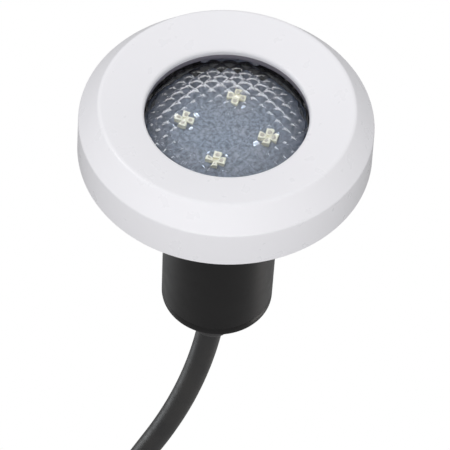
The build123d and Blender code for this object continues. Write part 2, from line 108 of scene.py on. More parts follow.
DOME_R = 95.0
DOME_EDGE_R = 27.7
LENS_WALL = 2.0
LENS_BORE_R = 26.4
LENS_FLANGE_Z = 11.8
LENS_BEND_IOR = 1.19
LENS_SHINE_IOR = 1.55
PILLOW_PITCH = 3.99
PILLOW_RISE_CENTRE = 0.25
PILLOW_RISE_EDGE = 0.80
PILLOW_FLAT_R = 12.0    # the pillows grow taller outside this radius
PILLOW_FADE_W = 0.6     # they fade out over this width at the dome's edge

SEAT_R = 32.05
SEAT_Z = 9.6
LENS_GASKET_R0 = 29.2
LENS_GASKET_R1 = 31.2
LENS_GASKET_Z = 8.4     # floor of the gasket's groove
CUP_R = 39.8
CUP_BORE_R = 27.9
CUP_FLOOR_Z = 1.6
FLANGE_Z0 = 1.0
FLANGE_Z1 = 6.0
STEM_BORE_R = 15.0
BARREL_BORE_R = 18.0
BORE_CONE_Z1 = -14.0    # the bore widens from the stem's to the barrel's here
BORE_CONE_Z0 = -17.0

THREAD_R = 24.13
THREAD_PITCH = 2.209
THREAD_DEPTH = 1.55
THREAD_TAPER = 1 / 32
THREAD_TOP_Z = -2.4
THREAD_END_Z = -22.6
THREAD_STEEPNESS = 2.35  # slope of a tooth's flanks
THREAD_ROOT_FLAT = 0.18  # share of a tooth's height cut off at the root
THREAD_FADE_TOP = 1.5
THREAD_FADE_END = 1.2
THREAD_END_DEPTH = 0.35  # share of the depth left at the last turn
COLLAR_LAND_Z = -23.6
COLLAR_END_Z = -24.4
COLLAR_CHAMFER = 0.7

CAP_HOLE_R = 6.5
CAP_BORE_R = 11.0
CAP_FLOOR_Z = -78.3
CAP_SPIGOT_R = 17.9
CAP_GROOVE_R = 16.7
CAP_GROOVE_Z0 = -75.0
CAP_GROOVE_Z1 = -73.2
CAP_GAP = 0.05          # between the cap and the end of the barrel

BOARD_PALE_R = 17.0     # painted shade: the board's face darkens towards its rim, in the shade of the retainer
BOARD_DARK_R = 28.0
# colour of the painted shade at the board's rim
BOARD_RIM_PAINTED_SHADE = (0.42, 0.44, 0.50)
LED_COUNT = 4
LED_CIRCLE_R = 14.4
LED_PHASE = -11.5
PAD_CIRCLE_R = 4.7      # tinned pads around each LED
PAD_HALF_L = 0.75
PAD_HALF_W = 0.45
PAD_CORNERS = 0.6       # power of the pads' rounded-square outline, 1 is round
PAD_GAP = 0.01          # between the board and the pads
PAD_LEVELS = ((0.0, 1.0), (0.16, 0.92), (0.28, 0.6))    # height, and share of the width
WIRE_CORNER = 2         # the pad that covers a feed wire
WIRE_PAD_HALF = 1.1

CABLE_R = 4.8
CABLE_TOP_Z = -67.0
BEND_START_Z = -72.0
BEND_R = 295.0
BEND_END_Z = -182.0
CABLE_TAIL_L = 20.0
CORE_FREE_L = 11.0
CORE_R = 1.55
CORE_CIRCLE_R = 2.0
CORE_SPLAY = 0.006      # the cores drift apart by this times the square of the distance
STRANDS = 7             # bare wires in a core: one in the middle, the rest around it
STRAND_R = 0.23
STRAND_CIRCLE_R = 0.47
STRAND_TWIST = 0.28     # turn from one place to the next, in radians
BARE_L = 4.6

RELIEF_BORE_GAP = 0.1   # between the boot and the cord
RELIEF_NECK_R = 6.4
RELIEF_NECK_Z = 2.0     # heights of the boot are from the end cap's face
RELIEF_TOP_Z = -0.06
RELIEF_COLLAR_R = 8.7
RELIEF_COLLAR_Z = -1.6
RELIEF_R = 8.35
RELIEF_WAIST_Z = -2.2
RELIEF_ROUND = 5.4
RELIEF_SHORT = 0.2      # the boot ends this far inside the part's box

MOUTH_DROP = 2.6        # the cord starts to bend this far below its pivot
BEND_ZONE = (-2.5, 0.0, -20.0)

CORE_COLOURS = {"live": "black", "neutral": "white", "earth": "green"}


def low(node):
    """Lowest corner of a CAD node, in millimetres."""
    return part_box(node)[0] / MM


def high(node):
    """Highest corner of a CAD node, in millimetres."""
    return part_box(node)[1] / MM


# ---- mesh helpers ----------------------------------------------------------

def add_object(name, verts, faces, smooth_deg=35):
    """A mesh object from points in millimetres."""
    mesh = bpy.data.meshes.new(name)
    mesh.from_pydata([tuple(c * MM for c in v) for v in verts], [], faces)
    tidy = bmesh.new()
    tidy.from_mesh(mesh)
    bmesh.ops.recalc_face_normals(tidy, faces=tidy.faces)
    tidy.to_mesh(mesh)
    tidy.free()
    mesh.polygons.foreach_set("use_smooth", [True] * len(mesh.polygons))
    mesh.set_sharp_from_angle(angle=math.radians(smooth_deg))
    piece = bpy.data.objects.new(name, mesh)
    bpy.context.scene.collection.objects.link(piece)
    return piece


def finish_piece(piece, body, material, slot, *nodes):
    """Gives a piece its material, its body and the CAD nodes it stands for."""
    piece.data.materials.clear()
    piece.data.materials.append(material)
    if "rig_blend" not in piece:
        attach(piece, body)
    if nodes:
        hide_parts(*nodes)
    return piece


def rounded(corners, steps=6):
    """A closed outline of (radius, z, rounding) corners, with the arcs drawn."""
    points = []
    count = len(corners)
    for i, (r, z, rounding) in enumerate(corners):
        here = Vector((r, z))
        if rounding == 0:
            points.append((r, z))
            continue
        before = (Vector(corners[i - 1][:2]) - here).normalized()
        after = (Vector(corners[(i + 1) % count][:2]) - here).normalized()
        half = before.angle(after) / 2
        reach = rounding / math.tan(half)
        centre = here + (before + after).normalized() * (rounding / math.sin(half))
        first = here + before * reach - centre
        last = here + after * reach - centre
        start = math.atan2(first.y, first.x)
        turn = (math.atan2(last.y, last.x) - start + math.pi) % (2 * math.pi) - math.pi
        for k in range(steps + 1):
            a = start + turn * k / steps
            points.append((centre.x + rounding * math.cos(a), centre.y + rounding * math.sin(a)))
    return points


def lathe(name, outline, segments=192, radius_at=None, smooth_deg=35):
    """Turns a closed outline about Z. radius_at can change a radius by angle."""
    verts = []
    for r, z in outline:
        for k in range(segments):
            a = 2 * math.pi * k / segments
            radius = radius_at(r, z, a) if radius_at else r
            verts.append((radius * math.cos(a), radius * math.sin(a), z))
    faces = []
    count = len(outline)
    for i in range(count):
        j = (i + 1) % count
        for k in range(segments):
            m = (k + 1) % segments
            faces.append((i * segments + k, i * segments + m, j * segments + m, j * segments + k))
    return add_object(name, verts, faces, smooth_deg)


def tube_along(name, places, radius, sides=32, smooth_deg=50):
    """A closed round bar through (centre, side, up) places."""
    verts = []
    for centre, side, up in places:
        for k in range(sides):
            a = 2 * math.pi * k / sides
            verts.append(centre + side * (radius * math.cos(a)) + up * (radius * math.sin(a)))
    faces = []
    for i in range(len(places) - 1):
        for k in range(sides):
            m = (k + 1) % sides
            faces.append((i * sides + k, i * sides + m, (i + 1) * sides + m, (i + 1) * sides + k))
    last = (len(places) - 1) * sides
    faces.append(tuple(range(sides)))
    faces.append(tuple(range(last, last + sides)))
    return add_object(name, verts, faces, smooth_deg)


def bevelled(piece, width, segments=2):
    """Softens a piece's sharp edges for good."""
    bevel = piece.modifiers.new("soft_edges", "BEVEL")
    bevel.width = width * MM
    bevel.segments = segments
    bevel.limit_method = "ANGLE"
    bevel.angle_limit = math.radians(40)
    apply_modifiers(piece)


def apply_modifiers(piece):
    """Replaces a piece's mesh with its evaluated one."""
    graph = bpy.context.evaluated_depsgraph_get()
    made = bpy.data.meshes.new_from_object(piece.evaluated_get(graph))
    piece.modifiers.clear()
    piece.data = made


def join(name, pieces):
    """Joins mesh objects into one."""
    whole = bmesh.new()
    for piece in pieces:
        whole.from_mesh(piece.data)
        bpy.data.objects.remove(piece)
    mesh = bpy.data.meshes.new(name)
    whole.to_mesh(mesh)
    whole.free()
    made = bpy.data.objects.new(name, mesh)
    bpy.context.scene.collection.objects.link(made)
    return made


# ---- materials -------------------------------------------------------------

class Shader:
    """A material with one Principled node and short ways to feed it."""

    def __init__(self, name):
        self.material = bpy.data.materials.new(name)
        self.material.use_nodes = True
        self.nodes = self.material.node_tree.nodes
        self.links = self.material.node_tree.links
        self.main = self.nodes["Principled BSDF"]
        self.output = self.nodes["Material Output"]
        coords = self.nodes.new("ShaderNodeTexCoord")
        self.position = coords.outputs["Object"]

    def set(self, **values):
        for key, value in values.items():
            self.main.inputs[key.replace("_", " ")].default_value = value
        return self

    def noise(self, scale, detail=3.0, rough=0.5, stretch=None):
        """Noise over the object, scale in waves per metre."""
        node = self.nodes.new("ShaderNodeTexNoise")
        node.inputs["Scale"].default_value = scale
        node.inputs["Detail"].default_value = detail
        node.inputs["Roughness"].default_value = rough
        source = self.position
        if stretch:
            mapping = self.nodes.new("ShaderNodeMapping")
            mapping.inputs["Scale"].default_value = stretch
            self.links.new(source, mapping.inputs["Vector"])
            source = mapping.outputs["Vector"]
        self.links.new(source, node.inputs["Vector"])
        return node.outputs["Fac"]

    def cells(self, scale, feature="F1"):
        """Voronoi distance over the object."""
        node = self.nodes.new("ShaderNodeTexVoronoi")
        node.feature = feature
        node.inputs["Scale"].default_value = scale
        self.links.new(self.position, node.inputs["Vector"])
        return node.outputs["Distance"]

    def spread(self, source, low_value, high_value, low_in=0.3, high_in=0.7):
        """Maps a source to a range of numbers."""
        node = self.nodes.new("ShaderNodeMapRange")
        node.inputs["From Min"].default_value = low_in
        node.inputs["From Max"].default_value = high_in
        node.inputs["To Min"].default_value = low_value
        node.inputs["To Max"].default_value = high_value
        self.links.new(source, node.inputs["Value"])
        return node.outputs["Result"]

    def blend_colours(self, factor, first, second):
        """Mixes two colours by a source."""
        node = self.nodes.new("ShaderNodeMix")
        node.data_type = "RGBA"
        node.inputs["A"].default_value = (*first, 1)
        node.inputs["B"].default_value = (*second, 1)
        self.links.new(factor, node.inputs["Factor"])
        return node.outputs["Result"]

    def feed(self, source, socket):
        self.links.new(source, self.main.inputs[socket])
        return self

    def bump(self, source, depth_mm, strength=1.0):
        node = self.nodes.new("ShaderNodeBump")
        node.inputs["Strength"].default_value = strength
        node.inputs["Distance"].default_value = depth_mm * MM
        self.links.new(source, node.inputs["Height"])
        self.links.new(node.outputs["Normal"], self.main.inputs["Normal"])
        return self


def moulded_plastic(name, colour, shade, roughness, grain_mm=0.004, grain_scale=2600.0):
    """Moulded plastic: faint flow clouds in the colour and a fine skin."""
    s = Shader(name)
    clouds = s.noise(45.0, detail=4.0)
    s.feed(s.blend_colours(s.spread(clouds, 0.0, 1.0), colour, shade), "Base Color")
    s.feed(s.spread(s.noise(160.0, detail=5.0), roughness - 0.04, roughness + 0.05), "Roughness")
    s.bump(s.noise(grain_scale, detail=2.0), grain_mm)
    return s


def white_abs():
    s = moulded_plastic("white_abs", (0.795, 0.79, 0.82), (0.787, 0.782, 0.812), 0.30, 0.0015, 250.0)
    s.set(Specular_IOR_Level=0.5, IOR=1.52, Coat_Weight=0.08, Coat_Roughness=0.15)
    return s.material


def black_plastic():
    colour = (0.0045, 0.0042, 0.0044)
    shade = (0.0070, 0.0065, 0.0067)
    s = moulded_plastic("black_plastic", colour, shade, 0.34, 0.006, 1900.0)
    s.set(Specular_IOR_Level=0.21)
    return s.material


def bezel_plastic():
    s = moulded_plastic("bezel_plastic", (0.165, 0.155, 0.190), (0.190, 0.180, 0.215), 0.45, 0.005)
    return s.material


def rubber(name, colour=(0.018, 0.018, 0.019), roughness=0.55):
    s = moulded_plastic(name, colour, tuple(c * 1.5 for c in colour), roughness, 0.010, 1500.0)
    return s.material


def cord_skin():
    """Extruded cord jacket: fine lines along it and a dull sheen."""
    s = Shader("cord_skin")
    clouds = s.spread(s.noise(60.0), 0, 1)
    s.feed(s.blend_colours(clouds, (0.009, 0.009, 0.010), (0.017, 0.016, 0.0155)), "Base Color")
    s.feed(s.spread(s.noise(300.0, detail=4.0), 0.36, 0.48), "Roughness")
    s.bump(s.noise(1200.0, detail=3.0, stretch=(1, 1, 0.15)), 0.012)
    return s.material


def clear_lens():
    """Clear plastic: a sharp reflection over a mild bend, so the LEDs stay readable."""
    s = Shader("clear_lens")
    s.nodes.remove(s.main)
    ripple = s.nodes.new("ShaderNodeBump")
    ripple.inputs["Distance"].default_value = 0.03 * MM
    s.links.new(s.noise(650.0, detail=2.0), ripple.inputs["Height"])
    through = s.nodes.new("ShaderNodeBsdfRefraction")
    through.inputs["Color"].default_value = (0.925, 0.95, 0.985, 1)
    through.inputs["IOR"].default_value = LENS_BEND_IOR
    shine = s.nodes.new("ShaderNodeBsdfGlossy")
    for surface, sharp, dull in ((through, 0.03, 0.06), (shine, 0.11, 0.17)):
        s.links.new(s.spread(s.noise(220.0, detail=4.0), sharp, dull), surface.inputs["Roughness"])
        s.links.new(ripple.outputs["Normal"], surface.inputs["Normal"])
    fresnel = s.nodes.new("ShaderNodeFresnel")
    fresnel.inputs["IOR"].default_value = LENS_SHINE_IOR
    s.links.new(ripple.outputs["Normal"], fresnel.inputs["Normal"])
    side = s.nodes.new("ShaderNodeNewGeometry")
    outside = s.nodes.new("ShaderNodeMath")
    outside.operation = "SUBTRACT"
    outside.inputs[0].default_value = 1.0
    s.links.new(side.outputs["Backfacing"], outside.inputs[1])
    share = s.nodes.new("ShaderNodeMath")
    share.operation = "MULTIPLY"
    s.links.new(fresnel.outputs["Fac"], share.inputs[0])
    s.links.new(outside.outputs["Value"], share.inputs[1])
    surface = s.nodes.new("ShaderNodeMixShader")
    s.links.new(share.outputs["Value"], surface.inputs["Fac"])
    s.links.new(through.outputs["BSDF"], surface.inputs[1])
    s.links.new(shine.outputs["BSDF"], surface.inputs[2])
    path = s.nodes.new("ShaderNodeLightPath")
    clear = s.nodes.new("ShaderNodeBsdfTransparent")
    clear.inputs["Color"].default_value = (0.82, 0.86, 0.90, 1)
    mix = s.nodes.new("ShaderNodeMixShader")
    s.links.new(path.outputs["Is Shadow Ray"], mix.inputs["Fac"])
    s.links.new(surface.outputs["Shader"], mix.inputs[1])
    s.links.new(clear.outputs["BSDF"], mix.inputs[2])
    s.links.new(mix.outputs["Shader"], s.output.inputs["Surface"])
    return s.material


def metal(name, colour, roughness, stretch=(1, 1, 1)):
    """Bare metal with fine tool marks."""
    s = Shader(name)
    s.set(Metallic=1.0)
    shade = tuple(c * 0.88 for c in colour)
    s.feed(s.blend_colours(s.spread(s.noise(90.0), 0, 1), colour, shade), "Base Color")
    marks = s.noise(700.0, detail=4.0, stretch=stretch)
    s.feed(s.spread(marks, roughness - 0.06, roughness + 0.1), "Roughness")
    s.bump(s.noise(1800.0, detail=3.0, stretch=stretch), 0.004)
    return s.material


def board_face():
    """Mottled grey-blue solder mask, with painted shade that darkens it towards the rim of the board."""
    s = Shader("board_face")
    speckle = s.spread(s.noise(950.0, detail=3.0, rough=0.65), 0.0, 1.0, 0.35, 0.65)
    mask = s.blend_colours(speckle, (0.125, 0.135, 0.148), (0.345, 0.355, 0.375))
    tone = s.nodes.new("ShaderNodeMix")
    tone.data_type = "RGBA"
    tone.blend_type = "MULTIPLY"
    tone.inputs["Factor"].default_value = 1.0
    s.links.new(mask, tone.inputs["A"])
    tint = s.blend_colours(s.spread(s.noise(70.0), 0, 1), (0.84, 0.90, 0.96), (1.0, 0.97, 0.96))
    s.links.new(tint, tone.inputs["B"])
    # painted shade: the colour darkens from BOARD_PALE_R out to BOARD_DARK_R
    rim = s.nodes.new("ShaderNodeMix")
    rim.data_type = "RGBA"
    rim.blend_type = "MULTIPLY"
    rim.inputs["Factor"].default_value = 1.0
    s.links.new(tone.outputs["Result"], rim.inputs["A"])
    distance = s.nodes.new("ShaderNodeVectorMath")
    distance.operation = "LENGTH"
    s.links.new(s.position, distance.inputs[0])
    edge = s.spread(distance.outputs["Value"], 0, 1, BOARD_PALE_R * MM, BOARD_DARK_R * MM)
    s.links.new(s.blend_colours(edge, (1, 1, 1), BOARD_RIM_PAINTED_SHADE), rim.inputs["B"])
    s.feed(rim.outputs["Result"], "Base Color")
    s.set(Roughness=0.42)
    s.bump(s.noise(700.0, detail=3.0), 0.05)
    return s.material


def led_body():
    s = moulded_plastic("led_body", (0.96, 0.89, 0.68), (0.92, 0.82, 0.58), 0.35)
    return s.material


def led_fill():
    """Phosphor under clear silicone, in cloudy tones."""
    s = Shader("led_fill")
    clouds = s.spread(s.noise(900.0), 0, 1)
    s.feed(s.blend_colours(clouds, (0.60, 0.50, 0.36), (0.74, 0.65, 0.50)), "Base Color")
    s.set(Roughness=0.25, Coat_Weight=0.6, Coat_Roughness=0.05)
    return s.material


def circuit_board():
    """Green solder mask with tracks."""
    s = Shader("circuit_board")
    tracks = s.spread(s.cells(260.0, "DISTANCE_TO_EDGE"), 0, 1, 0.02, 0.06)
    s.feed(s.blend_colours(tracks, (0.04, 0.20, 0.07), (0.015, 0.10, 0.035)), "Base Color")
    s.set(Roughness=0.3)
    s.bump(s.cells(260.0, "DISTANCE_TO_EDGE"), 0.03)
    return s.material


def plain_plastic(name, colour, roughness=0.4):
    return moulded_plastic(name, colour, tuple(c * 0.85 for c in colour), roughness, 0.004).material


# ---- pieces: white face ring ----------------------------------------------

def make_face_ring(material):
    """Skirt, conical side, dished face and rolled aperture, as a thin shell."""
    dish = (SHOULDER_Z - LIP_Z) / (SHOULDER_R - LIP_R)

    def under(r):
        return LIP_Z + dish * (r - LIP_R) - RING_SHELL

    outline = rounded(
        [
            (RING_BORE_R, 0.0, 0.15),
            (RING_RIM_R, 0.0, 0.45),
            (RIDGE_R, RIDGE_Z, 1.3),
            (SHOULDER_R, SHOULDER_Z, 1.7),
            (LIP_R, LIP_Z, 1.5),
            (LIP_R, LIP_UNDER_Z, 0.3),
            (LIP_WEB_R, LIP_UNDER_Z, 0),
            (LIP_WEB_R, under(LIP_WEB_R), 0),
            (CONE_UNDER_R, under(CONE_UNDER_R), 0.6),
            (RING_HEM_R, RING_HEM_Z1, 0.6),
            (RING_HEM_R, RING_HEM_Z0, 0),
            (RING_BORE_R, RING_HEM_Z0, 0),
            (RING_BORE_R, BAND_Z1, 0),
            (RING_BORE_R + BAND_DEPTH, BAND_Z1, 0),
            (RING_BORE_R + BAND_DEPTH, BAND_Z0, 0),
            (RING_BORE_R, BAND_Z0, 0),
        ],
        steps=8,
    )
    ring = lathe("trim_ring_shell", outline, segments=256, smooth_deg=25)
    cutter = bpy.data.meshes.new("notch")
    shape = bmesh.new()
    bmesh.ops.create_cube(shape, size=1.0)
    bmesh.ops.scale(shape, vec=(NOTCH_W * MM, NOTCH_L * MM, 2 * NOTCH_H * MM), verts=shape.verts)
    upper = []
    for edge in shape.edges:
        first, second = edge.verts
        if first.co.z > 0 and second.co.z > 0 and abs(first.co.y - second.co.y) > MM:
            upper.append(edge)
    bmesh.ops.bevel(shape, geom=upper, offset=NOTCH_ROUND * MM, segments=4, affect="EDGES")
    bmesh.ops.translate(shape, vec=(0, NOTCH_R * MM, 0), verts=shape.verts)
    shape.to_mesh(cutter)
    shape.free()
    tool = bpy.data.objects.new("notch", cutter)
    bpy.context.scene.collection.objects.link(tool)
    cut = ring.modifiers.new("notch", "BOOLEAN")
    cut.operation = "DIFFERENCE"
    cut.solver = "EXACT"
    cut.object = tool
    apply_modifiers(ring)
    bpy.data.objects.remove(tool)
    return finish_piece(ring, "trim_ring", material, "white_plastic", "face_ring")


# ---- pieces: lens ----------------------------------------------------------

def pillow(x, y):
    """Height of the moulded pillow pattern, 0 in the valleys and 1 on top."""
    turn = math.radians(45)
    u = (x * math.cos(turn) + y * math.sin(turn)) / PILLOW_PITCH
    v = (-x * math.sin(turn) + y * math.cos(turn)) / PILLOW_PITCH
    du = 2 * (u - math.floor(u)) - 1
    dv = 2 * (v - math.floor(v)) - 1
    return (1 - du * du) * 0.5 + (1 - dv * dv) * 0.5


def pillow_rise(r):
    """Height of the pillows at a radius: low in the middle, tall at the edge."""
    t = min(1.0, max(0.0, (r - PILLOW_FLAT_R) / (DOME_EDGE_R - PILLOW_FLAT_R)))
    return PILLOW_RISE_CENTRE + (PILLOW_RISE_EDGE - PILLOW_RISE_CENTRE) * t * (2 - t)


def make_lens(material):
    """A dome with a pillowed outer face, a smooth inner face and a flange."""
    segments = 480
    rings = 128
    inner_rings = 24
    centre_z = high("lens")[2] - DOME_R
    seat_z = low("lens")[2]
    flange_r = high("lens")[0]
    inner_r = DOME_R - LENS_WALL
    verts = [(0, 0, centre_z + DOME_R - pillow_rise(0) * (1 - pillow(0, 0)))]
    for i in range(1, rings + 1):
        r = DOME_EDGE_R * i / rings
        fade = min(1.0, (DOME_EDGE_R - r) / PILLOW_FADE_W)
        for k in range(segments):
            a = 2 * math.pi * k / segments
            x = r * math.cos(a)
            y = r * math.sin(a)
            dip = pillow_rise(r) * (1 - pillow(x, y)) * fade
            verts.append((x, y, centre_z + math.sqrt(DOME_R ** 2 - r * r) - dip))
    loops = [
        (DOME_EDGE_R, LENS_FLANGE_Z),
        (flange_r, LENS_FLANGE_Z),
        (flange_r, seat_z),
        (LENS_BORE_R, seat_z),
    ]
    for i in range(inner_rings):
        r = LENS_BORE_R * (1 - i / inner_rings)
        loops.append((r, centre_z + math.sqrt(inner_r ** 2 - r * r)))
    for r, z in loops:
        for k in range(segments):
            a = 2 * math.pi * k / segments
            verts.append((r * math.cos(a), r * math.sin(a), z))
    verts.append((0, 0, centre_z + inner_r))
    faces = []
    for k in range(segments):
        faces.append((0, 1 + k, 1 + (k + 1) % segments))
    for i in range(rings - 1 + len(loops)):
        first = 1 + i * segments
        for k in range(segments):
            m = (k + 1) % segments
            faces.append((first + k, first + segments + k, first + segments + m, first + m))
    last = 1 + (rings - 1 + len(loops)) * segments
    for k in range(segments):
        faces.append((last + k, len(verts) - 1, last + (k + 1) % segments))
    piece = add_object("patterned_lens", verts, faces, smooth_deg=60)
    return finish_piece(piece, "light_body", material, "clear_lens", "lens")


# ---- pieces: housing -------------------------------------------------------

def thread_radius(r, z, angle):
    """Adds a helical thread to the radii between the thread's ends."""
    if r < THREAD_R - 3.0 or z > THREAD_TOP_Z or z < THREAD_END_Z or r > THREAD_R + 0.01:
        return r
    crest = THREAD_R - THREAD_TAPER * (THREAD_TOP_Z - z)
    phase = ((z - THREAD_END_Z) / THREAD_PITCH - angle / (2 * math.pi)) % 1.0
    tooth = min(1.0, max(0.0, THREAD_STEEPNESS * (1 - abs(2 * phase - 1)) - THREAD_ROOT_FLAT))
    fade_in = min(1.0, (THREAD_TOP_Z - z) / THREAD_FADE_TOP)
    fade_out = min(1.0, (z - THREAD_END_Z) / THREAD_FADE_END)
    return crest - THREAD_DEPTH * (1 - tooth) * fade_in * min(fade_out + THREAD_END_DEPTH, 1.0)


def make_housing(material):
    """Flange, lens cup, threaded collar and barrel."""
    flange_r = high("housing")[0]
    barrel_end = low("housing")[2]
    barrel_r = high("end_cap")[0]
    cup_z = high("housing")[2]
    outline = rounded(
        [
            (SEAT_R, cup_z, 0.2),
            (CUP_R, cup_z, 0.5),
            (CUP_R, FLANGE_Z1, 0.6),
            (flange_r, FLANGE_Z1, 0.5),
            (flange_r, FLANGE_Z0, 0.5),
            (THREAD_R, FLANGE_Z0, 0.5),
            (THREAD_R, THREAD_TOP_Z, 0),
        ],
        steps=5,
    )
    rows = 170
    for i in range(1, rows + 1):
        z = THREAD_TOP_Z + (THREAD_END_Z - THREAD_TOP_Z) * i / rows
        outline.append((THREAD_R - THREAD_TAPER * (THREAD_TOP_Z - z), z))
    last_r = outline[-1][0] - THREAD_DEPTH * THREAD_END_DEPTH
    lower = rounded(
        [
            (last_r, THREAD_END_Z, 0),
            (last_r, COLLAR_LAND_Z, 0),
            (last_r - COLLAR_CHAMFER, COLLAR_END_Z, 0.3),
            (barrel_r, COLLAR_END_Z, 0.9),
            (barrel_r, barrel_end, 0.12),
            (BARREL_BORE_R, barrel_end, 0),
            (BARREL_BORE_R, BORE_CONE_Z0, 0),
            (STEM_BORE_R, BORE_CONE_Z1, 0),
            (STEM_BORE_R, CUP_FLOOR_Z, 0),
            (CUP_BORE_R, CUP_FLOOR_Z, 0.4),
            (CUP_BORE_R, SEAT_Z, 0),
            (LENS_GASKET_R0, SEAT_Z, 0),
            (LENS_GASKET_R0, LENS_GASKET_Z, 0),
            (LENS_GASKET_R1, LENS_GASKET_Z, 0),
            (LENS_GASKET_R1, SEAT_Z, 0),
            (SEAT_R, SEAT_Z, 0),
        ],
        steps=5,
    )
    piece = lathe("housing_shell", outline + lower[1:], segments=224, radius_at=thread_radius, smooth_deg=32)
    return finish_piece(piece, "light_body", material, "black_plastic", "housing")


def make_end_cap(material):
    """Disc and spigot that close the barrel."""
    cap_low = low("end_cap")[2]
    cap_high = high("end_cap")[2]
    r = high("end_cap")[0]
    joint_z = low("housing")[2] - CAP_GAP
    outline = rounded(
        [
            (CAP_HOLE_R, cap_low, 0.3),
            (r, cap_low, 1.0),
            (r, joint_z, 0.12),
            (CAP_SPIGOT_R, joint_z, 0),
            (CAP_SPIGOT_R, CAP_GROOVE_Z0, 0),
            (CAP_GROOVE_R, CAP_GROOVE_Z0, 0),
            (CAP_GROOVE_R, CAP_GROOVE_Z1, 0),
            (CAP_SPIGOT_R, CAP_GROOVE_Z1, 0),
            (CAP_SPIGOT_R, cap_high, 0.3),
            (CAP_BORE_R, cap_high, 0.3),
            (CAP_BORE_R, CAP_FLOOR_Z, 0),
            (CAP_HOLE_R, CAP_FLOOR_Z, 0.3),
        ],
        steps=5,
    )
    piece = lathe("barrel_end_cap", outline, segments=160)
    return finish_piece(piece, "light_body", material, "black_plastic", "end_cap")


# ---- pieces: cable ---------------------------------------------------------

def bend_place(z):
    """Centre, side and up of the cord on its bend at the height z."""
    drop = BEND_START_Z - z
    lean = math.asin(drop / BEND_R)
    centre = Vector((math.sqrt(BEND_R ** 2 - drop ** 2) - BEND_R, 0, z))
    return place_at(centre, lean)


def place_at(centre, lean):
    """A cross-section place that leans by an angle towards -X."""
    side = Vector((math.cos(lean), 0, -math.sin(lean)))
    return centre, side, Vector((0, 1, 0))


def tail_line():
    """Start, direction and lean of the cord's last straight stretch."""
    lean = math.asin((BEND_START_Z - BEND_END_Z) / BEND_R)
    return bend_place(BEND_END_Z)[0], Vector((-math.sin(lean), 0, -math.cos(lean))), lean


def make_cord(material):
    """The whole cord, from inside the barrel to its cut end."""
    start, along, lean = tail_line()
    places = [place_at(Vector((0, 0, CABLE_TOP_Z)), 0), place_at(Vector((0, 0, BEND_START_Z + 0.5)), 0)]
    bend_steps = 74
    for i in range(bend_steps + 1):
        places.append(bend_place(BEND_START_Z + (BEND_END_Z - BEND_START_Z) * i / bend_steps))
    tail_steps = 11
    for i in range(1, tail_steps + 1):
        places.append(place_at(start + along * (CABLE_TAIL_L * i / tail_steps), lean))
    cord = tube_along("cord", places, CABLE_R, sides=48, smooth_deg=50)
    bevelled(cord, 0.35, 3)
    joint = next(j for j in frame["joints"] if j["name"] == "cable_swing")
    pivot = Vector(joint["pos_m"])
    mouth = pivot + Vector((0, 0, -MOUTH_DROP * MM))
    bend_end = mouth + Vector(BEND_ZONE) * MM
    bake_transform(cord, "light_body", "free_cable", start=mouth, end=bend_end)
    return finish_piece(cord, "free_cable", material, "cable_black", "cable_root", "cable_jacket")


def make_relief(material):
    """Round boot that leans with the cord and hugs it at its mouth."""
    cap_low = low("end_cap")[2]
    end_z = low("strain_relief")[2] - cap_low + RELIEF_SHORT
    bore_r = CABLE_R + RELIEF_BORE_GAP
    outline = rounded(
        [
            (bore_r, RELIEF_NECK_Z, 0),
            (RELIEF_NECK_R, RELIEF_NECK_Z, 0),
            (RELIEF_NECK_R, RELIEF_TOP_Z, 0),
            (RELIEF_COLLAR_R, RELIEF_TOP_Z, 0.25),
            (RELIEF_COLLAR_R, RELIEF_COLLAR_Z, 0.4),
            (RELIEF_R, RELIEF_WAIST_Z, 0.3),
            (RELIEF_R, end_z, RELIEF_ROUND),
            (bore_r, end_z, 0.35),
        ],
        steps=9,
    )
    boot = lathe("strain_relief_boot", outline, segments=96)
    for v in boot.data.vertices:
        z = v.co.z / MM
        if z < 0:
            centre, side, up = bend_place(cap_low + z)
            v.co = (centre + side * (v.co.x / MM) + up * (v.co.y / MM)) * MM
        else:
            v.co.z += cap_low * MM
    boot.data.update()
    return finish_piece(boot, "light_body", material, "black_rubber")


def core_axis(index):
    """Start of a core at the cut end of the jacket, and its outward way."""
    start, along, lean = tail_line()
    _, side, up = place_at(start, lean)
    a = math.radians(90 + index * 120)
    out = side * math.cos(a) + up * math.sin(a)
    return start + along * CABLE_TAIL_L + out * CORE_CIRCLE_R, along, out


def core_places(index, first, last, steps):
    """Places along a core, which splays a little from the others."""
    base, along, out = core_axis(index)
    across = along.cross(out)
    places = []
    for i in range(steps + 1):
        t = first + (last - first) * i / steps
        splay = CORE_SPLAY * max(t, 0) ** 2
        places.append((base + along * t + out * splay, out, across))
    return places


def make_cores(materials, copper):
    """Three insulated cores with twisted bare ends."""
    strands = []
    for index, (name, colour) in enumerate(CORE_COLOURS.items()):
        tip = CORE_FREE_L - 0.4
        core = tube_along(f"cord_core_{name}", core_places(index, -3.0, tip, 12), CORE_R, sides=24)
        bevelled(core, 0.15)
        finish_piece(core, "free_cable", materials[name], f"wire_{colour}", f"cable_core_{name}")
        for strand in range(STRANDS):
            lay = 0 if strand == 0 else STRAND_CIRCLE_R
            places = []
            for k, (centre, out, across) in enumerate(core_places(index, tip - 0.5, tip + BARE_L, 14)):
                a = 2 * math.pi * strand / (STRANDS - 1) + k * STRAND_TWIST
                shift = out * (lay * math.cos(a)) + across * (lay * math.sin(a))
                places.append((centre + shift, out, across))
            strands.append(tube_along(f"strand_{index}_{strand}", places, STRAND_R, sides=10))
    bundle = join("bare_strands", strands)
    return finish_piece(bundle, "free_cable", copper, "copper", "core_conductors")


# ---- pieces: small parts of the LED board ----------------------------------

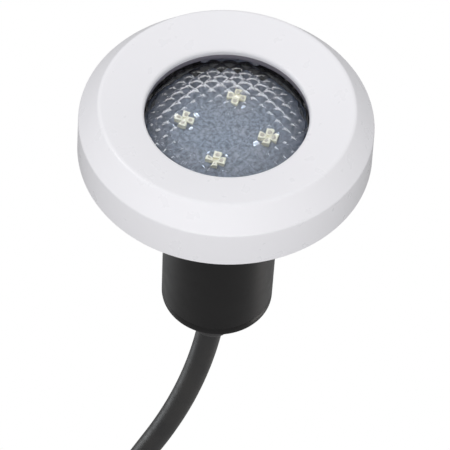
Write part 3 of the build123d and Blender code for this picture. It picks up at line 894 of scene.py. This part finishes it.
def make_solder_pads(material):
    """Small tinned pads around each LED."""
    board_top = high("led_board")[2]
    pads = []
    for led in range(LED_COUNT):
        turn = math.radians(LED_PHASE + led * 360 / LED_COUNT)
        centre = Vector((LED_CIRCLE_R * math.cos(turn), LED_CIRCLE_R * math.sin(turn)))
        for corner in range(4):
            a = turn + math.radians(45 + 90 * corner)
            place = centre + Vector((math.cos(a), math.sin(a))) * PAD_CIRCLE_R
            on_wire = corner == WIRE_CORNER and led % 2 == 0
            half_long = WIRE_PAD_HALF if on_wire else PAD_HALF_L
            half_wide = WIRE_PAD_HALF if on_wire else PAD_HALF_W
            pads.append((place, a, half_long, half_wide))
    verts = []
    faces = []
    sides = 16
    for place, a, half_long, half_wide in pads:
        first = len(verts)
        for level, shrink in PAD_LEVELS:
            for k in range(sides):
                b = 2 * math.pi * k / sides
                x = math.copysign(abs(math.cos(b)) ** PAD_CORNERS, math.cos(b)) * half_wide * shrink
                y = math.copysign(abs(math.sin(b)) ** PAD_CORNERS, math.sin(b)) * half_long * shrink
                verts.append(
                    (
                        place.x + x * math.cos(a) - y * math.sin(a),
                        place.y + x * math.sin(a) + y * math.cos(a),
                        board_top + PAD_GAP + level,
                    )
                )
        for level in range(2):
            for k in range(sides):
                m = (k + 1) % sides
                low_row = first + level * sides
                faces.append((low_row + k, low_row + m, low_row + sides + m, low_row + sides + k))
        faces.append(tuple(first + 2 * sides + k for k in range(sides)))
        faces.append(tuple(first + k for k in range(sides)))
    piece = add_object("solder_pads", verts, faces, smooth_deg=60)
    return finish_piece(piece, "light_body", material, "steel")


# ---- build the object ------------------------------------------------------

black = black_plastic()
white = white_abs()
steel = metal("steel", (0.62, 0.62, 0.63), 0.28)
rubber_black = rubber("rubber_black")
wire_red = plain_plastic("wire_red", (0.45, 0.02, 0.02))
wire_black = plain_plastic("wire_black", (0.02, 0.02, 0.02))
wire_white = plain_plastic("wire_white", (0.75, 0.75, 0.73))
wire_green = plain_plastic("wire_green", (0.02, 0.24, 0.06))
chip_black = plain_plastic("chip_black", (0.025, 0.025, 0.027), 0.5)

core_materials = {"live": wire_black, "neutral": wire_white, "earth": wire_green}

make_face_ring(white)
make_lens(clear_lens())
make_housing(black)
make_end_cap(black)
relief = make_relief(rubber("boot_rubber", (0.016, 0.015, 0.016), 0.42))
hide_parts("strain_relief")
make_cord(cord_skin())
make_cores(core_materials, metal("copper", (0.78, 0.42, 0.24), 0.3))
make_solder_pads(metal("solder", (0.85, 0.86, 0.88), 0.18))

CAD_MATERIALS = {
    "ring_grip_band": rubber_black,
    "lens_gasket": rubber_black,
    "lens_retainer": bezel_plastic(),
    "retainer_screws": steel,
    "wall_gasket": rubber_black,
    "led_board": board_face(),
    "led_packages": led_body(),
    "led_phosphors": led_fill(),
    "thermal_pad": plain_plastic("thermal_pad", (0.40, 0.42, 0.46), 0.6),
    "heat_spreader": metal("aluminium", (0.80, 0.81, 0.83), 0.32, (1, 1, 6)),
    "feed_wire_positive": wire_red,
    "feed_wire_negative": wire_black,
    "driver_board": circuit_board(),
    "driver_frame": plain_plastic("frame_nylon", (0.70, 0.69, 0.64)),
    "inductor": metal("winding", (0.70, 0.36, 0.18), 0.35, (1, 9, 1)),
    "capacitors": plain_plastic("can_sleeve", (0.03, 0.05, 0.14), 0.25),
    "bridge_rectifier": chip_black,
    "controller_chip": chip_black,
    "fuse": plain_plastic("fuse_ceramic", (0.78, 0.74, 0.60), 0.3),
    "potting_plug": plain_plastic("potting_resin", (0.05, 0.04, 0.035), 0.2),
    "end_cap_seal": rubber_black,
    "cord_anchor": metal("brass_sleeve", (0.80, 0.62, 0.32), 0.3),
    "supply_lead_live": wire_black,
    "supply_lead_neutral": wire_white,
    "supply_lead_earth": wire_green,
}
for node_name, node_material in CAD_MATERIALS.items():
    node = frame["nodes"][node_name]
    node.data.materials.clear()
    node.data.materials.append(node_material)
    for face in node.data.polygons:
        face.material_index = 0


# ---- floor, light and camera ----------------------------------------------

FLOOR_DROP = 0.35
BACKDROP_WHITE = 1.0
BOUNCE_GREY = 0.32
SKY_LOW = 0.92
SKY_HIGH = 1.21


def light_for_camera_only(tree, seen, bounced):
    """Feeds one shader to camera rays and another to every other ray."""
    path = tree.nodes.new("ShaderNodeLightPath")
    mix = tree.nodes.new("ShaderNodeMixShader")
    tree.links.new(path.outputs["Is Camera Ray"], mix.inputs["Fac"])
    tree.links.new(bounced, mix.inputs[1])
    tree.links.new(seen, mix.inputs[2])
    return mix.outputs["Shader"]


def make_floor():
    """A wide pale floor, well below the hanging cord."""
    mesh = bpy.data.meshes.new("floor")
    half = 30.0
    z = CAD_LOW.z - FLOOR_DROP
    corners = [(-half, -half, z), (half, -half, z), (half, half, z), (-half, half, z)]
    mesh.from_pydata(corners, [], [(0, 1, 2, 3)])
    floor = bpy.data.objects.new("floor", mesh)
    bpy.context.scene.collection.objects.link(floor)
    material = bpy.data.materials.new("pale_floor")
    material.use_nodes = True
    tree = material.node_tree
    tree.nodes.clear()
    glow = tree.nodes.new("ShaderNodeEmission")
    glow.inputs["Color"].default_value = (1, 1, 1, 1)
    glow.inputs["Strength"].default_value = BACKDROP_WHITE
    dull = tree.nodes.new("ShaderNodeBsdfDiffuse")
    dull.inputs["Color"].default_value = (BOUNCE_GREY, BOUNCE_GREY, BOUNCE_GREY, 1)
    output = tree.nodes.new("ShaderNodeOutputMaterial")
    tree.links.new(light_for_camera_only(tree, glow.outputs[0], dull.outputs[0]), output.inputs["Surface"])
    mesh.materials.append(material)


def make_world():
    """White for the camera, and for all other rays brighter overhead than at the sides."""
    world = bpy.data.worlds.new("studio")
    bpy.context.scene.world = world
    world.use_nodes = True
    tree = world.node_tree
    tree.nodes.clear()
    coords = tree.nodes.new("ShaderNodeTexCoord")
    split = tree.nodes.new("ShaderNodeSeparateXYZ")
    tree.links.new(coords.outputs["Generated"], split.inputs["Vector"])
    height = tree.nodes.new("ShaderNodeMapRange")
    height.inputs["From Min"].default_value = 0.0
    height.inputs["From Max"].default_value = 0.75
    height.inputs["To Min"].default_value = SKY_LOW
    height.inputs["To Max"].default_value = SKY_HIGH
    tree.links.new(split.outputs["Z"], height.inputs["Value"])
    sky = tree.nodes.new("ShaderNodeBackground")
    tree.links.new(height.outputs["Result"], sky.inputs["Strength"])
    seen = tree.nodes.new("ShaderNodeBackground")
    seen.inputs["Color"].default_value = (1, 1, 1, 1)
    seen.inputs["Strength"].default_value = BACKDROP_WHITE
    output = tree.nodes.new("ShaderNodeOutputWorld")
    tree.links.new(light_for_camera_only(tree, seen.outputs[0], sky.outputs[0]), output.inputs["Surface"])


def area_light(name, place, target, size, watts, colour=(1, 1, 1)):
    """A soft light of a width and a height that points at a target."""
    lamp = bpy.data.lights.new(name, "AREA")
    lamp.shape = "RECTANGLE"
    lamp.size, lamp.size_y = size
    lamp.energy = watts
    lamp.color = colour
    holder = bpy.data.objects.new(name, lamp)
    holder.location = place
    holder.visible_camera = False
    holder.rotation_mode = "QUATERNION"
    holder.rotation_quaternion = (Vector(target) - Vector(place)).to_track_quat("-Z", "Y")
    bpy.context.scene.collection.objects.link(holder)
    return holder


def light_only(lamp, *piece_names):
    """Keeps the light of a lamp on the named pieces."""
    lit = bpy.data.collections.new(lamp.name + "_lit")
    for name in piece_names:
        lit.objects.link(bpy.data.objects[name])
    lamp.light_linking.receiver_collection = lit


def make_camera():
    """Looks down at the light from the front, a little rolled."""
    elevation = math.radians(49.86)
    roll = math.radians(3.287)
    distance = 0.8
    aim_below = math.radians(1.878)
    forward = Vector((0, math.cos(elevation), -math.sin(elevation)))
    right = Vector((1, 0, 0))
    up = Vector((0, math.sin(elevation), math.cos(elevation)))
    across = right * math.cos(roll) + up * math.sin(roll)
    over = up * math.cos(roll) - right * math.sin(roll)
    look = forward * math.cos(aim_below) - over * math.sin(aim_below)
    over = over * math.cos(aim_below) + forward * math.sin(aim_below)
    camera = bpy.data.cameras.new("camera")
    camera.lens = 188.7
    camera.sensor_width = 36.0
    camera.clip_start = 0.01
    camera.clip_end = 200.0
    holder = bpy.data.objects.new("camera", camera)
    turn = Matrix((across, over, -look)).transposed().to_4x4()
    holder.matrix_world = Matrix.Translation(-forward * distance) @ turn
    bpy.context.scene.collection.objects.link(holder)
    bpy.context.scene.camera = holder


make_floor()
make_world()
area_light("key_left", (-0.9, 0.1, 0.95), (0, 0, 0), (0.5, 0.5), 2.5, (0.97, 0.98, 1.0))
area_light("front_low", (0.0, -1.2, -0.08), (0, 0, 0.01), (1.1, 1.1), 6.0)
lens_glint = area_light("lens_glint", (0.0, 1.4, 0.52), (0, 0, 0), (2.4, 0.55), 26.0)
light_only(lens_glint, "patterned_lens")
BARREL_PIECES = ("housing_shell", "barrel_end_cap", "strain_relief_boot", "cord")
card_right = area_light("card_right", (0.50, 0.0, -0.42), (0, 0, -0.06), (0.25, 0.25), 0.9, (1.0, 0.96, 0.92))
card_left = area_light("card_left", (-0.50, 0.10, -0.42), (0, 0, -0.06), (0.25, 0.25), 0.4, (0.93, 0.97, 1.0))
light_only(card_right, *BARREL_PIECES)
light_only(card_left, *BARREL_PIECES)
make_camera()
bpy.context.scene.view_settings.view_transform = "Standard"
